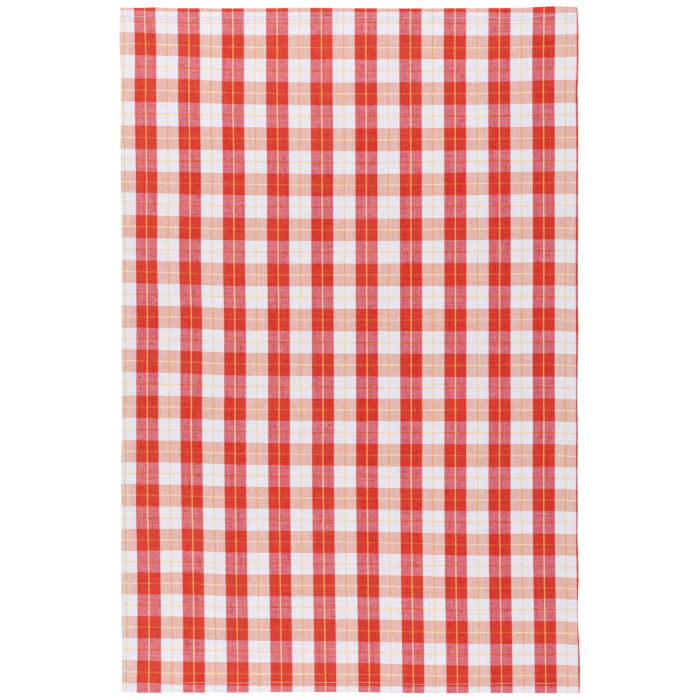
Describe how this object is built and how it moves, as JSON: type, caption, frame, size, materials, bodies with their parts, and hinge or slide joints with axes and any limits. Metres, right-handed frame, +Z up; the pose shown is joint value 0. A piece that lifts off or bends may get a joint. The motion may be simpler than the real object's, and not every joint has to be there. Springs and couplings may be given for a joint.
{
  "type": "tea towel",
  "caption": "Flat rectangular woven cotton tea towel with a red, orange and white check, thin yellow lines and a turned hem at each short end.",
  "frame": {"origin": "under the middle of the towel, on the surface it lies on", "axes": "+Y along the long side towards the end that is uppermost in the picture, +X across, +Z up through the cloth's face"},
  "size_m": [0.512, 0.7636, 0.002],
  "materials": {
    "woven_cotton": "plain-weave cotton, matte"
  },
  "bodies": {
    "root": {"woven_towel": "woven_cotton"}
  },
  "joints": []
}
